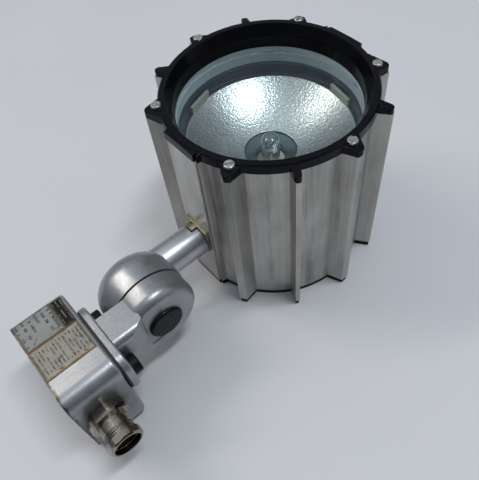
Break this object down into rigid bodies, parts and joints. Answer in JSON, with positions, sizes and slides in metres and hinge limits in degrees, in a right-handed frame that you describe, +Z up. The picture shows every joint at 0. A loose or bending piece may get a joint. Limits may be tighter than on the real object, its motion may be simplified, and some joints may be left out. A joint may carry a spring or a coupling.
{
  "type": "machine work light",
  "caption": "Cylindrical finned work light with a glazed black bezel on a tilting elbow and turning tube, fixed by a square terminal box with a cable gland.",
  "frame": {"origin": "centre of the terminal box's flat mounting face", "axes": "+X out of the mounting face towards the lamp head, +Z up and along the beam in the stored pose, +Y away from the gland side"},
  "size_m": [0.2263, 0.1317, 0.1167],
  "materials": {
    "cast_silver": "silver paint on die-cast aluminium, scuffed at the edges",
    "plate_aluminium": "rolled sheet, mill finish",
    "tube_satin": "satin turned tube",
    "extrusion": "raw extrusion with die lines and dark smears",
    "bezel_black": "gloss black stove enamel",
    "cover_black": "satin black enamel",
    "steel_screws": "bright zinc-plated steel",
    "black_screws": "black oxide steel, lightly oiled",
    "spring_steel": "machined steel",
    "stop_zinc": "yellow passivated zinc on pressed steel",
    "gland_nickel": "nickel plate on brass, warm and slightly dulled",
    "seal_rubber": "black moulded rubber",
    "cap_plastic": "black moulded nylon",
    "terminal_plastic": "off-white polyamide",
    "friction_fibre": "brown fibre",
    "earth_brass": "plain brass",
    "label_grey": "printed foil label, worn, tan stain at the edges",
    "label_black": "black printed foil block",
    "label_cream": "cream label with dark printed bars, aged",
    "front_glass": "clear toughened glass",
    "bulb_glass": "quartz capsule",
    "seal_grey": "pale grey silicone",
    "spacer_grey": "grey-green paint",
    "ring_blue": "dark blue-grey anodised",
    "reflector_silver": "hammered bright aluminium",
    "clip_cream": "cream passivated spring steel",
    "filament_metal": "tungsten coil",
    "lamp_ceramic": "white steatite",
    "collar_teal": "dark teal enamel",
    "bracket_steel": "zinc-plated sheet and bar",
    "lead_fabric": "glass-braid sleeving"
  },
  "bodies": {
    "base": {"base_housing": "cast_silver", "base_gasket": "seal_rubber", "base_plate": "plate_aluminium", "base_plate_screws": "steel_screws", "terminal_block": "terminal_plastic", "terminal_screws": "steel_screws", "earth_screw": "earth_brass", "flange_gasket": "seal_rubber", "elbow_base_half": "cast_silver", "flange_screws": "black_screws", "pivot_cap": "cap_plastic", "pivot_bolt": "steel_screws", "pivot_disc_springs": "spring_steel", "pivot_nut": "spring_steel", "friction_disc": "friction_fibre", "gland_body": "gland_nickel", "gland_o_ring": "seal_rubber", "gland_locknut": "gland_nickel", "gland_seal": "seal_rubber", "gland_cap_nut": "gland_nickel", "rating_label": "label_grey", "header_label": "label_black", "information_label": "label_cream"},
    "arm": {"elbow_arm_half": "cast_silver", "arm_tube": "tube_satin"},
    "head": {"head_housing": "extrusion", "stop_plate": "stop_zinc", "swivel_spigot": "spring_steel", "spigot_nut": "spring_steel", "bezel": "bezel_black", "bezel_screws": "steel_screws", "front_glass": "front_glass", "glass_gasket": "seal_grey", "spacer_ring": "spacer_grey", "reflector_ring": "ring_blue", "reflector": "reflector_silver", "reflector_clips": "clip_cream", "bulb_glass": "bulb_glass", "bulb_filament": "filament_metal", "bulb_base": "lamp_ceramic", "bulb_collar": "collar_teal", "lamp_bracket": "bracket_steel", "lamp_holder": "lamp_ceramic", "bracket_posts": "bracket_steel", "post_screws": "steel_screws", "head_terminal": "terminal_plastic", "head_terminal_screws": "steel_screws", "lamp_leads": "lead_fabric", "rear_gasket": "seal_rubber", "rear_cover": "cover_black", "rear_cover_screws": "black_screws"}
  },
  "joints": [
    {"name": "elbow_tilt", "type": "hinge", "parent": "base", "child": "arm", "pos_m": [0.0635, 0.0175, 0.0105], "axis": [0, -1, 0], "range_deg": [-75, 90]},
    {"name": "head_turn", "type": "hinge", "parent": "arm", "child": "head", "pos_m": [0.108, 0.0175, 0.0105], "axis": [-1, 0, 0], "range_deg": [-1, 210]}
  ]
}
